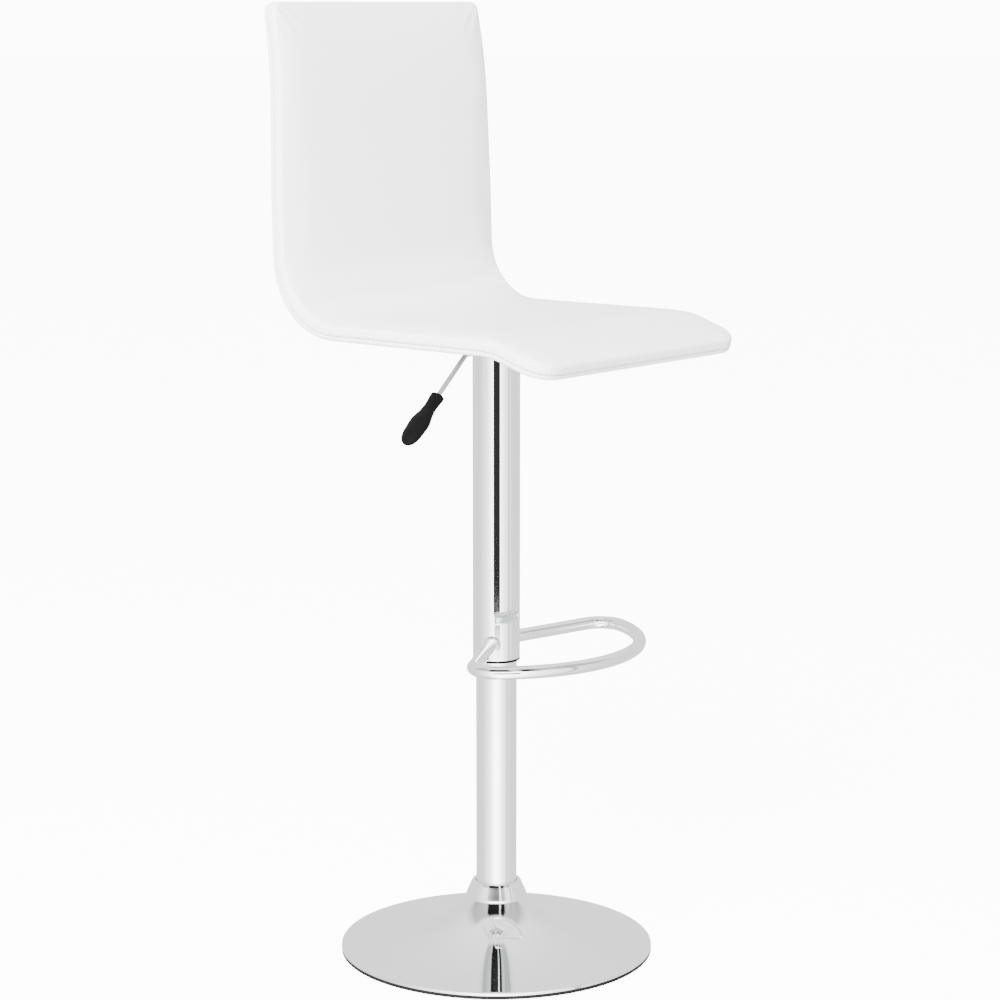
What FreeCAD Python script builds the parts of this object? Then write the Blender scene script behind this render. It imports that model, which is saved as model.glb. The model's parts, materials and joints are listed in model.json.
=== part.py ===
import FreeCAD, Part
import math
import os

# Adjustable swivel bar stool on a gas lift, shown at its highest setting.
# Millimetres. +Z is up, the origin is on the floor at the column's axis, and the sitter faces -Y.
# The lever is on the sitter's right, towards -X. Each piece is written to parts/ as its own STEP file.

# ---------------------------------------------------------------- driving dimensions

# Base
base_diameter = 385.0
base_sheet = 2.5            # thickness of the spun steel bell
rim_wall = 2.5              # thickness of the bell's turned-down rim
rim_round = 2.0             # rounding on the rim's upper edge
rim_top = 9.0               # height of the rim's upper edge
rubber_height = 4.5         # rubber showing under the rim
rubber_width = 10.0
neck_gap = 11.5             # from the lower tube to the bell's outer surface at its neck
neck_height = 67.0
flare_power = 0.75          # how quickly the bell flattens away from the neck
ballast_inner_radius = 112.0
ballast_edge_gap = 42.5     # from the ballast to the base's edge
floor_gap = 4.0             # ballast stays this far above the floor
retainer_bottom = 14.0      # plate across the inside of the bell that the column bolts to
retainer_thickness = 3.0

# Collar over the neck
collar_overhang = 1.0       # beyond the neck
collar_lip = 6.0            # from the lower tube to the collar's edge at its top
collar_height = 21.0
collar_wall = 3.0
collar_gap = 0.5            # air between the collar and the lower tube
collar_band = 3.0           # upright band at the collar's bottom, and the height of its rounded shoulder
collar_edge = 0.8           # rounding of its sharp edges
collar_soft_edge = 1.2
collar_chamfer = 1.5
collar_inside_step = 6.0    # height of the bore at its top, and of the cone's start at its bottom
collar_inside_flare = 2.0

# Column
lower_tube_diameter = 50.0
lower_tube_wall = 2.0
sleeve_space = 2.35         # radial, between the lower tube and the sleeve
sleeve_wall = 1.5
sleeve_bottom = 371.0
sleeve_length = 371.0
sleeve_cap_length = 34.0
sleeve_cap_gap = 7.0        # left between the cap and the lower tube at the lowest setting
sleeve_bush_lip = 3.0       # black ring showing below the sleeve
sleeve_bush_length = 20.0
guide_bush_length = 40.0
guide_bush_lip = 3.0
stud_diameter = 16.0
stud_nut_width = 24.0
stud_nut_height = 8.0
stud_washer_diameter = 40.0
stud_washer_thickness = 2.5
plug_thickness = 8.0

# Gas spring
stroke = 210.0
cylinder_diameter = 28.0
cylinder_wall = 1.3
cylinder_hold = 91.0        # cylinder left inside the lower tube at full height
taper_length = 42.0
taper_in = 1.2              # radius lost over the taper
rod_diameter = 10.0
rod_stub_diameter = 8.0
rod_guide_length = 14.0
piston_length = 12.0
piston_gap = 4.0            # between the piston and the rod guide at full height
valve_block_diameter = 12.0
valve_block_length = 50.0
valve_recess = 1.5          # the valve block's top sits this far below the cylinder's
valve_pin_diameter = 6.0
valve_pin_length = 28.6
carrier_height = 40.0       # shelf inside the lower tube that the rod stands on
carrier_thickness = 4.0
ball_diameter = 4.0
ball_count = 10
ball_circle_radius = 9.0
race_thickness = 2.0
race_outer_radius = 13.0
clip_thickness = 1.2
clip_radius = 8.0
clip_groove = 1.0           # depth of the clip's groove in the rod's stub
stub_below_clip = 2.5
piston_slack = 0.5          # radial, between the piston's body and its seal's face
seal_groove = 2.0
valve_seat = 2.0            # lip in the cylinder's head that the valve block sits on
pin_lever_gap = 0.3         # between the valve pin and the lever above it
pin_room = 4.0              # under the valve pin, so that it can be pushed in

# Footrest
footrest_tube = 16.0
footrest_radius = 175.0     # column axis to the tube's centre line
footrest_corner = 28.0
footrest_half_angle = 69.5  # each arm's angle from the middle of the loop
footrest_turn = 9.0         # the loop is turned this much from straight ahead, towards +X
footrest_above_sleeve_end = 21.0
weld_width = 2.6
weld_length = 4.0
weld_toe = 0.2              # what is left of the weld at its thin end

# Seat mounting
socket_height = 12.6
socket_wall = 5.0
socket_flare = 7.0
socket_band = 2.0           # upright band at the socket's bottom
socket_round = 4.0
slot_floor = 1.0            # material left under the lever's slot
slot_inside = 3.0           # the slot's cutter reaches this far past the socket's inner wall
plate_size = 150.0
plate_thickness = 3.0
plate_corner = 15.0
bolt_spacing = 110.0
bolt_diameter = 6.0
bolt_head_width = 10.0
bolt_head_height = 4.0
board_width = 190.0
board_depth = 172.0
tee_nut_barrel_diameter = 9.0
tee_nut_flange_diameter = 19.0
tee_nut_flange_thickness = 1.5
tee_nut_length = 9.0
bolt_end_gap = 1.0          # between the bolts' tips and the shell

# Seat: its upper and front surface, seen from the side
seat_width = 385.0
seat_front_y = -229.0
seat_back_y = 160.0         # where the seat's and the back's surfaces would meet as straight lines
back_height = 369.0         # above the seat's surface
waterfall_angle = 18.5
waterfall_start_y = -154.3
waterfall_radius = 123.0
seat_bend_radius = 69.0
back_lean = 1.5
back_bend_rise = 292.0      # above the seat's surface
back_bend_radius = 659.0
back_top_lean = 9.5
back_taper = 8.0            # each side of the back comes in this much at its top
back_taper_rise = 135.0     # the taper starts this far above the seat's surface
front_corner = 35.0
top_corner = 12.0

# Seat: its layers, from the front surface to the back
cover_thickness = 1.2
foam_thickness = 12.0
shell_thickness = 9.6
seam_from_back = 6.5        # the covers meet this far from the rear surface
shell_edge_gap = 3.0        # soft wadding between the shell's edge and the covers
underside_swell = 11.4      # how far the padding under the seat stands down
crown_edge = 26.0           # from the swelling to the seat's sides
crown_shift = 12.0          # the swelling's middle, back from the middle of the seat's flat part
crown_top_depth = 226.0
crown_bottom_width = 205.0
crown_bottom_depth = 180.0

# Lever
lever_diameter = 6.0
lever_above_sleeve = 6.0    # rod centre above the sleeve's end
lever_inner_end = 5.0
lever_pivot_x = -28.0
lever_bend_x = -56.0
lever_bend_radius = 12.0
lever_drop_angle = 41.0
lever_reach = 144.5         # bend to the grip's tip, along the slope
lever_pin_diameter = 3.0
lever_pin_length = 18.0
lever_slot_width = 8.0
grip_length = 76.0
grip_rod_depth = 42.0

# Clearances
running_gap = 0.05          # radial, between pieces that turn or slide in each other
sleeve_running_gap = 0.08
loose_gap = 0.5

# ---------------------------------------------------------------- worked out from them

Vector = FreeCAD.Vector
ORIGIN = Vector(0, 0, 0)
UP = Vector(0, 0, 1)

base_radius = base_diameter / 2
tube_radius = lower_tube_diameter / 2
tube_bore = tube_radius - lower_tube_wall
tube_foot = retainer_bottom + retainer_thickness
neck_radius = tube_radius + neck_gap
sleeve_bore = tube_radius + sleeve_space
sleeve_radius = sleeve_bore + sleeve_wall
sleeve_top = sleeve_bottom + sleeve_length
lower_tube_top = sleeve_top - stroke - sleeve_cap_length - sleeve_cap_gap
cylinder_bottom = lower_tube_top - cylinder_hold
cylinder_radius = cylinder_diameter / 2
cylinder_bore = cylinder_radius - cylinder_wall
rod_radius = rod_diameter / 2
stub_radius = rod_stub_diameter / 2
race_base = carrier_height + carrier_thickness
ball_height = race_base + race_thickness + running_gap + ball_diameter / 2
upper_race_bottom = ball_height + ball_diameter / 2
rod_shoulder = upper_race_bottom + race_thickness
rod_guide_top = cylinder_bottom + rod_guide_length
piston_bottom = rod_guide_top + piston_gap
footrest_height = sleeve_bottom + footrest_above_sleeve_end
plate_bottom = sleeve_top + socket_height
plate_top = plate_bottom + plate_thickness
seat_thickness = cover_thickness * 2 + foam_thickness + shell_thickness
seat_height = plate_top + underside_swell + seat_thickness
seat_top = seat_height + back_height
back_bend_height = seat_height + back_bend_rise
crown_top_width = seat_width - 2 * crown_edge
seam_depth = seat_thickness - seam_from_back
shell_front = cover_thickness + foam_thickness
shell_back = shell_front + shell_thickness
shell_underside = seat_height - shell_back
board_bottom = plate_top + cover_thickness
crown_y = (waterfall_start_y + seat_back_y - seat_bend_radius) / 2 + crown_shift
lever_height = sleeve_top + lever_above_sleeve
lever_radius = lever_diameter / 2

pieces = {}


# ---------------------------------------------------------------- shared shapes

def cylinder(radius, bottom, top, x=0.0, y=0.0):
    """Upright cylinder between two heights."""
    return Part.makeCylinder(radius, top - bottom, Vector(x, y, bottom), UP)


def ring(inner, outer, bottom, top):
    """Upright ring between two heights."""
    return cylinder(outer, bottom, top).cut(cylinder(inner, bottom, top))


def box(low, high):
    """Box between two opposite corners."""
    size = [b - a for a, b in zip(low, high)]
    return Part.makeBox(size[0], size[1], size[2], Vector(*low))


def rounded_edges(corners, closed=True):
    """Lines and tangent arcs along (point, radius) corners; an open run keeps its two ends sharp."""
    count = len(corners)
    starts, ends, arcs = [], [], []
    for i, (point, radius) in enumerate(corners):
        at_end = not closed and i in (0, count - 1)
        if radius == 0 or at_end:
            starts.append(point)
            ends.append(point)
            arcs.append(None)
            continue
        back = (corners[i - 1][0] - point).normalize()
        ahead = (corners[(i + 1) % count][0] - point).normalize()
        half = back.getAngle(ahead) / 2
        bisector = (back + ahead).normalize()
        centre = point + bisector * (radius / math.sin(half))
        starts.append(point + back * (radius / math.tan(half)))
        ends.append(point + ahead * (radius / math.tan(half)))
        arcs.append(centre - bisector * radius)
    edges = []
    for i in range(count):
        if arcs[i] is not None:
            edges.append(Part.Arc(starts[i], arcs[i], ends[i]).toShape())
        following = (i + 1) % count
        if (closed or following) and ends[i].distanceToPoint(starts[following]) > 1e-6:
            edges.append(Part.LineSegment(ends[i], starts[following]).toShape())
    return edges


def turned(outline):
    """Solid of revolution about Z from (radius, height) or (radius, height, rounding) corners."""
    corners = [(Vector(c[0], 0, c[1]), c[2] if len(c) > 2 else 0) for c in outline]
    face = Part.Face(Part.Wire(rounded_edges(corners)))
    return face.revolve(ORIGIN, UP, 360)


def rounded_rectangle(width, depth, corner, height, y=0.0):
    """Closed wire at a height, centred on X = 0 and the given Y."""
    half_w, half_d = width / 2, depth / 2
    places = [(-half_w, -half_d), (half_w, -half_d), (half_w, half_d), (-half_w, half_d)]
    corners = [(Vector(px, y + py, height), corner) for px, py in places]
    return Part.Wire(rounded_edges(corners))


def tube_along(edges, radius, start, direction):
    """Round bar swept along a run of tangent edges."""
    section = Part.Wire(Part.makeCircle(radius, start, direction))
    return Part.Wire(edges).makePipeShell([section], True, False)


def solid(shape):
    """The single solid of a cut or joined shape."""
    found = shape.Solids
    if len(found) != 1:
        raise ValueError("expected one solid, found %d" % len(found))
    return found[0]


def keep(name, *shapes):
    """Name a piece; several solids make a group of identical ones."""
    solids = [s for shape in shapes for s in shape.Solids]
    pieces[name] = solids[0] if len(solids) == 1 else Part.makeCompound(solids)


# ---------------------------------------------------------------- base

def flare_height(radius):
    """Height of the bell's outer surface at a radius."""
    far = (neck_radius / (base_radius - rim_round)) ** flare_power
    near = (neck_radius / radius) ** flare_power
    return rim_top + (neck_height - rim_top) * (near - far) / (1 - far)


def flare_inside(radius):
    """Point on the bell's inner surface, one sheet thickness in from the outer one at a radius."""
    step = 0.01
    slope = (flare_height(radius + step) - flare_height(radius - step)) / (2 * step)
    length = math.hypot(1, slope)
    return Vector(radius + base_sheet * slope / length, 0, flare_height(radius) - base_sheet / length)


def flare_radii():
    """Radii from the rim to the neck, closer together towards the neck."""
    steps = 12
    ratio = (base_radius - rim_round) / neck_radius
    return [neck_radius * ratio ** (1 - i / steps) for i in range(steps + 1)]


def spline(points):
    curve = Part.BSplineCurve()
    curve.interpolate(points)
    return curve.toShape()


def line(a, b):
    return Part.LineSegment(a, b).toShape()


def make_base():
    radii = flare_radii()
    outer = [Vector(r, 0, flare_height(r)) for r in radii]
    inner_rim = base_radius - rim_wall
    inner = [Vector(inner_rim, 0, flare_height(inner_rim) - base_sheet)]
    inner += [flare_inside(r) for r in radii[1:]]
    rim_low = Vector(base_radius, 0, rubber_height)
    rim_high = Vector(base_radius, 0, rim_top - rim_round)
    quarter = rim_round * math.sqrt(0.5)
    rim_middle = Vector(base_radius - rim_round + quarter, 0, rim_top - rim_round + quarter)
    inner_low = Vector(inner_rim, 0, rubber_height)
    outline = [
        line(rim_low, rim_high),
        Part.Arc(rim_high, rim_middle, outer[0]).toShape(),
        spline(outer),
        line(outer[-1], inner[-1]),
        spline(inner),
        line(inner[0], inner_low),
        line(inner_low, rim_low),
    ]
    bell = Part.Face(Part.Wire(Part.__sortEdges__(outline))).revolve(ORIGIN, UP, 360)
    keep("base_bell", bell)

    floor_corner = Vector(inner_rim, 0, 0)
    neck_corner = Vector(0, 0, inner[-1].z)
    space = [
        line(ORIGIN, floor_corner),
        line(floor_corner, inner[0]),
        spline(inner),
        line(inner[-1], neck_corner),
        line(neck_corner, ORIGIN),
    ]
    inside = Part.Face(Part.Wire(Part.__sortEdges__(space))).revolve(ORIGIN, UP, 360)

    rubber_inner = base_radius - rubber_width
    tongue_top = inner[0].z - loose_gap
    keep("floor_ring", turned([
        (rubber_inner, 0, 0.8), (base_radius, 0, 0.8), (base_radius, rubber_height),
        (inner_rim, rubber_height), (inner_rim, tongue_top), (rubber_inner, tongue_top, 0.8),
    ]))
    ballast = ring(ballast_inner_radius, base_radius - ballast_edge_gap, floor_gap, retainer_bottom)
    keep("ballast_ring", solid(ballast.common(inside)))

    stud_radius = stud_diameter / 2
    retainer = ring(stud_radius, base_radius, retainer_bottom, tube_foot)
    keep("retaining_plate", solid(retainer.common(inside)))


def make_collar():
    top = neck_height + collar_height
    bore = tube_radius + collar_gap
    bottom_radius = neck_radius + collar_overhang
    top_radius = tube_radius + collar_lip
    keep("neck_collar", turned([
        (bottom_radius, neck_height, collar_edge),
        (bottom_radius, neck_height + collar_band, collar_soft_edge),
        (top_radius, top - collar_band, collar_band),
        (top_radius - collar_chamfer, top, collar_soft_edge),
        (bore, top, collar_edge),
        (bore, top - collar_inside_step),
        (bore + collar_inside_flare, neck_height + collar_inside_step),
        (bottom_radius - collar_wall, neck_height),
    ]))


# ---------------------------------------------------------------- column

def make_lower_column():
    keep("lower_tube", ring(tube_bore, tube_radius, tube_foot, lower_tube_top))

    stud_radius = stud_diameter / 2
    plug = cylinder(tube_bore, tube_foot, tube_foot + plug_thickness)
    washer_bottom = retainer_bottom - stud_washer_thickness
    nut_bottom = washer_bottom - stud_nut_height
    stud = cylinder(stud_radius, nut_bottom, tube_foot)
    keep("tube_plug", solid(plug.fuse(stud).removeSplitter()))
    washer_radius = stud_washer_diameter / 2
    keep("stud_washer", ring(stud_radius, washer_radius, washer_bottom, retainer_bottom))
    keep("stud_nut", hexagon(stud_nut_width, nut_bottom, washer_bottom).cut(
        cylinder(stud_radius, nut_bottom, washer_bottom)))

    bush_bore = cylinder_radius + running_gap
    bush_bottom = lower_tube_top - guide_bush_length
    keep("guide_bush", turned([
        (bush_bore, bush_bottom), (tube_bore, bush_bottom), (tube_bore, lower_tube_top),
        (tube_radius, lower_tube_top), (tube_radius, lower_tube_top + guide_bush_lip, 1.0),
        (bush_bore, lower_tube_top + guide_bush_lip),
    ]))

    carrier_bore = stub_radius + loose_gap
    keep("rod_shelf", ring(carrier_bore, tube_bore, carrier_height, race_base))
    keep("lower_race", ring(carrier_bore, race_outer_radius, race_base, race_base + race_thickness))


def hexagon(width, bottom, top, x=0.0, y=0.0):
    """Upright hexagonal prism, measured across its flats."""
    corner = width / math.sqrt(3)
    angles = [math.radians(60 * i) for i in range(7)]
    points = [Vector(x + corner * math.cos(a), y + corner * math.sin(a), bottom) for a in angles]
    return Part.Face(Part.makePolygon(points)).extrude(Vector(0, 0, top - bottom))


def make_rod():
    balls = []
    for i in range(ball_count):
        angle = 2 * math.pi * i / ball_count
        place = Vector(ball_circle_radius * math.cos(angle), ball_circle_radius * math.sin(angle), 0)
        place.z = ball_height
        balls.append(Part.makeSphere(ball_diameter / 2, place))
    keep("bearing_balls", *balls)
    keep("upper_race", ring(stub_radius, race_outer_radius, upper_race_bottom, rod_shoulder))

    clip_top = carrier_height - loose_gap
    clip_bottom = clip_top - clip_thickness
    stub_bottom = clip_bottom - stub_below_clip
    groove_radius = stub_radius - clip_groove
    piston_top = piston_bottom + piston_length
    keep("piston_rod", turned([
        (0, stub_bottom), (stub_radius, stub_bottom, 0.8), (stub_radius, clip_bottom),
        (groove_radius, clip_bottom), (groove_radius, clip_top), (stub_radius, clip_top),
        (stub_radius, rod_shoulder), (rod_radius, rod_shoulder), (rod_radius, piston_top),
        (0, piston_top),
    ]))
    keep("rod_clip", ring(groove_radius, clip_radius, clip_bottom, clip_top))

    seal_outer = cylinder_bore - running_gap
    seal_low = piston_bottom + piston_length / 3
    seal_high = piston_bottom + piston_length * 2 / 3
    body_radius = seal_outer - piston_slack
    seat_radius = body_radius - seal_groove
    keep("piston", turned([
        (rod_radius, piston_bottom), (body_radius, piston_bottom, 0.6), (body_radius, seal_low),
        (seat_radius, seal_low), (seat_radius, seal_high), (body_radius, seal_high),
        (body_radius, piston_top, 0.6), (rod_radius, piston_top),
    ]))
    keep("piston_seal", ring(seat_radius, seal_outer, seal_low, seal_high))


def make_gas_cylinder():
    block_radius = valve_block_diameter / 2
    block_bottom = sleeve_top - valve_block_length
    head_bottom = block_bottom - valve_seat
    taper_start = sleeve_top - taper_length
    keep("gas_cylinder", turned([
        (cylinder_bore, cylinder_bottom), (cylinder_radius, cylinder_bottom, 0.6),
        (cylinder_radius, taper_start), (cylinder_radius - taper_in, sleeve_top),
        (block_radius, sleeve_top), (block_radius, block_bottom),
        (block_radius - valve_seat, block_bottom), (block_radius - valve_seat, head_bottom),
        (cylinder_bore, head_bottom),
    ]))
    keep("rod_guide", ring(rod_radius + running_gap, cylinder_bore, cylinder_bottom, rod_guide_top))

    pin_radius = valve_pin_diameter / 2
    pin_top = lever_height - lever_radius - pin_lever_gap
    pin_bottom = pin_top - valve_pin_length
    pin_space = pin_bottom - pin_room
    block_top = sleeve_top - valve_recess
    keep("valve_block", turned([
        (0, block_bottom), (block_radius, block_bottom), (block_radius, block_top),
        (pin_radius + running_gap, block_top), (pin_radius + running_gap, pin_space), (0, pin_space),
    ]))
    keep("valve_pin", turned([
        (0, pin_bottom), (pin_radius, pin_bottom), (pin_radius, pin_top, 0.8), (0, pin_top),
    ]))


def make_sleeve():
    keep("outer_sleeve", ring(sleeve_bore, sleeve_radius, sleeve_bottom, sleeve_top))
    bush_bore = tube_radius + sleeve_running_gap
    lip_bottom = sleeve_bottom - sleeve_bush_lip
    keep("sleeve_bush", turned([
        (bush_bore, lip_bottom), (sleeve_radius, lip_bottom, 0.6), (sleeve_radius, sleeve_bottom),
        (sleeve_bore, sleeve_bottom), (sleeve_bore, lip_bottom + sleeve_bush_length),
        (bush_bore, lip_bottom + sleeve_bush_length),
    ]))
    taper_start = sleeve_top - taper_length
    cap_bottom = sleeve_top - sleeve_cap_length
    at_cap = cylinder_radius - taper_in * (cap_bottom - taper_start) / taper_length
    keep("sleeve_cap", turned([
        (at_cap, cap_bottom), (sleeve_bore, cap_bottom, 0.8), (sleeve_bore, sleeve_top),
        (cylinder_radius - taper_in, sleeve_top),
    ]))


# ---------------------------------------------------------------- footrest

def around(radius, degrees, height):
    """Point at a radius and an angle from straight ahead (-Y), positive towards +X."""
    angle = math.radians(degrees)
    return Vector(radius * math.sin(angle), -radius * math.cos(angle), height)


def make_footrest():
    tube = footrest_tube / 2
    corner_reach = footrest_radius - footrest_corner
    corner_angle = math.degrees(math.asin(footrest_corner / corner_reach))
    arm_end = math.sqrt(corner_reach ** 2 - footrest_corner ** 2)
    start_radius = sleeve_bore

    def side(sign):
        arm = footrest_turn + sign * footrest_half_angle
        centre = around(corner_reach, arm - sign * corner_angle, footrest_height)
        inside = around(start_radius, arm, footrest_height)
        straight = around(arm_end, arm, footrest_height)
        on_arc = around(footrest_radius, arm - sign * corner_angle, footrest_height)
        middle = ((straight - centre) + (on_arc - centre)).normalize() * footrest_corner + centre
        return inside, straight, middle, on_arc

    left, right = side(-1), side(1)
    edges = [
        line(left[0], left[1]),
        Part.Arc(left[1], left[2], left[3]).toShape(),
        Part.Arc(left[3], around(footrest_radius, footrest_turn, footrest_height), right[3]).toShape(),
        Part.Arc(right[3], right[2], right[1]).toShape(),
        line(right[1], right[0]),
    ]
    whole = tube_along(edges, tube, left[0], left[1] - left[0])
    sleeve = cylinder(sleeve_radius, sleeve_bottom, sleeve_top)
    keep("footrest_loop", solid(whole.cut(sleeve)))

    welds = []
    for sign in (-1, 1):
        arm = footrest_turn + sign * footrest_half_angle
        start = around(sleeve_bore, arm, footrest_height)
        reach = sleeve_radius - sleeve_bore + weld_length
        cone = Part.makeCone(tube + weld_width, tube + weld_toe, reach, start, around(1, arm, 0))
        welds.append(solid(cone.cut(sleeve).cut(whole)))
    keep("footrest_welds", *welds)


# ---------------------------------------------------------------- seat mounting

def bolt_places():
    half = bolt_spacing / 2
    return [(-half, -half), (half, -half), (half, half), (-half, half)]


def board_block():
    """The plywood board's outer shape."""
    outline = rounded_rectangle(board_width, board_depth, plate_corner, board_bottom, crown_y)
    return Part.Face(outline).extrude(Vector(0, 0, shell_underside - board_bottom))


def make_mounting():
    bolt_radius = bolt_diameter / 2
    socket_inner = sleeve_radius - socket_wall
    socket = turned([
        (socket_inner, sleeve_top), (sleeve_radius, sleeve_top),
        (sleeve_radius, sleeve_top + socket_band, socket_round),
        (sleeve_radius + socket_flare, plate_bottom),
        (socket_inner, plate_bottom),
    ])
    slot = box((-sleeve_radius - socket_flare, -lever_slot_width / 2, sleeve_top + slot_floor),
               (-socket_inner + slot_inside, lever_slot_width / 2, plate_bottom))
    pin_hole = Part.makeCylinder(lever_pin_diameter / 2, lever_pin_length,
                                 Vector(lever_pivot_x, -lever_pin_length / 2, lever_height),
                                 Vector(0, 1, 0))
    keep("plate_socket", solid(socket.cut(slot).cut(pin_hole)))
    keep("lever_pin", pin_hole.copy())

    outline = rounded_rectangle(plate_size, plate_size, plate_corner, plate_bottom)
    plate = Part.Face(outline).extrude(Vector(0, 0, plate_thickness))
    board = board_block()

    bolts, nuts = [], []
    nut_bottom = shell_underside - tee_nut_length
    flange_bottom = shell_underside - tee_nut_flange_thickness
    bolt_tip = shell_underside - bolt_end_gap
    for x, y in bolt_places():
        shank = cylinder(bolt_radius, plate_bottom, bolt_tip, x, y)
        head = hexagon(bolt_head_width, plate_bottom - bolt_head_height, plate_bottom, x, y)
        bolts.append(solid(head.fuse(shank).removeSplitter()))
        barrel = cylinder(tee_nut_barrel_diameter / 2, nut_bottom, flange_bottom, x, y)
        flange = cylinder(tee_nut_flange_diameter / 2, flange_bottom, shell_underside, x, y)
        nut = barrel.fuse(flange).removeSplitter()
        plate = plate.cut(shank)
        board = board.cut(nut).cut(shank)
        nuts.append(solid(nut.cut(cylinder(bolt_radius, nut_bottom, shell_underside, x, y))))
    keep("seat_plate", solid(plate))
    keep("mounting_board", solid(board))
    keep("plate_bolts", *bolts)
    keep("tee_nuts", *nuts)


# ---------------------------------------------------------------- seat

def seat_line(depth, trim):
    """Corners of the seat's side outline, a depth behind its front surface and trimmed at both ends."""
    slope = math.radians(waterfall_angle)
    lean = math.radians(back_lean)
    top_lean = math.radians(back_top_lean)
    runs = [
        Vector(0, math.cos(slope), math.sin(slope)),
        Vector(0, 1, 0),
        Vector(0, math.sin(lean), math.cos(lean)),
        Vector(0, math.sin(top_lean), math.cos(top_lean)),
    ]
    front_drop = (waterfall_start_y - seat_front_y) * math.tan(slope)
    bend_y = seat_back_y + (back_bend_height - seat_height) * math.tan(lean)
    top_y = bend_y + (seat_top - back_bend_height) * math.tan(top_lean)
    places = [
        Vector(0, seat_front_y, seat_height - front_drop),
        Vector(0, waterfall_start_y, seat_height),
        Vector(0, seat_back_y, seat_height),
        Vector(0, bend_y, back_bend_height),
        Vector(0, top_y, seat_top),
    ]
    behind = [Vector(0, run.z, -run.y) for run in runs]
    radii = [waterfall_radius - depth, seat_bend_radius + depth, back_bend_radius - depth]
    corners = [(places[0] + behind[0] * depth + runs[0] * trim, 0)]
    for i, radius in enumerate(radii):
        mitre = (behind[i] + behind[i + 1]) * (depth / (1 + behind[i].dot(behind[i + 1])))
        corners.append((places[i + 1] + mitre, radius))
    corners.append((places[4] + behind[3] * depth - runs[3] * trim, 0))
    return corners


def seat_layer(front, back, trim):
    """Bent sheet between two depths, trimmed all round, with rounded front and top corners."""
    near = seat_line(front, trim)
    far = seat_line(back, trim)
    edges = rounded_edges(near, closed=False)
    edges.append(line(near[-1][0], far[-1][0]))
    edges += rounded_edges(far, closed=False)
    edges.append(line(far[0][0], near[0][0]))
    wire = Part.Wire(Part.__sortEdges__(edges))
    half = seat_width / 2 - trim
    wire.translate(Vector(-half, 0, 0))
    sheet = solid(Part.Face(wire).extrude(Vector(2 * half, 0, 0)))
    tips = [(near[0][0] + side, far[0][0] + side) for side in (Vector(-half, 0, 0), Vector(half, 0, 0))]
    sheet = sheet.makeFillet(front_corner - trim, edges_between(sheet, tips))
    return solid(sheet.common(front_view(trim)))


def front_view(trim):
    """Prism along Y with the seat's outline from the front: straight, tapered back, round top corners."""
    half = seat_width / 2 - trim
    top_half = half - back_taper
    taper_start = seat_height + back_taper_rise
    top = seat_top - trim
    corner = top_corner - trim
    reach = Vector(0, base_diameter, 0)
    outline = [(-half, 0, 0), (half, 0, 0), (half, taper_start, 0),
               (top_half, top, corner), (-top_half, top, corner), (-half, taper_start, 0)]
    wire = Part.Wire(rounded_edges([(Vector(x, 0, z) - reach, radius) for x, z, radius in outline]))
    return Part.Face(wire).extrude(reach * 2)


def edges_between(shape, pairs):
    """Straight edges of a shape that run between pairs of points."""
    found = []
    for a, b in pairs:
        middle = (a + b) / 2
        found += [e for e in shape.Edges if e.CenterOfMass.distanceToPoint(middle) < 1e-3
                  and abs(e.Length - a.distanceToPoint(b)) < 1e-3]
    return found


def crown(inset):
    """Padded swelling under the seat, from its rear surface down to the seat plate."""
    top_height = seat_height - shell_back
    bottom_height = plate_top + inset
    lower = rounded_rectangle(crown_bottom_width - 2 * inset, crown_bottom_depth - 2 * inset,
                              plate_corner, bottom_height, crown_y)
    upper = rounded_rectangle(crown_top_width - 2 * inset, crown_top_depth - 2 * inset,
                              plate_corner * 2, top_height, crown_y)
    return Part.makeLoft([lower, upper], True, True)


def make_seat():
    front = seat_layer(0, seam_depth, 0)
    front_space = seat_layer(cover_thickness, seam_depth, cover_thickness)
    keep("front_cover", solid(front.cut(front_space)))
    keep("seat_foam", seat_layer(cover_thickness, shell_front, cover_thickness))
    keep("seat_shell", seat_layer(shell_front, shell_back, cover_thickness + shell_edge_gap))

    bolt_radius = bolt_diameter / 2
    rear = seat_layer(seam_depth, seat_thickness, 0).fuse(crown(0))
    rear_space = seat_layer(seam_depth, shell_back, cover_thickness).fuse(crown(cover_thickness))
    cover = rear.cut(rear_space)
    for x, y in bolt_places():
        cover = cover.cut(cylinder(bolt_radius, plate_top, board_bottom, x, y))
    keep("rear_cover", solid(cover))

    keep("underside_pad", solid(crown(cover_thickness).cut(board_block())))


# ---------------------------------------------------------------- lever

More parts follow.
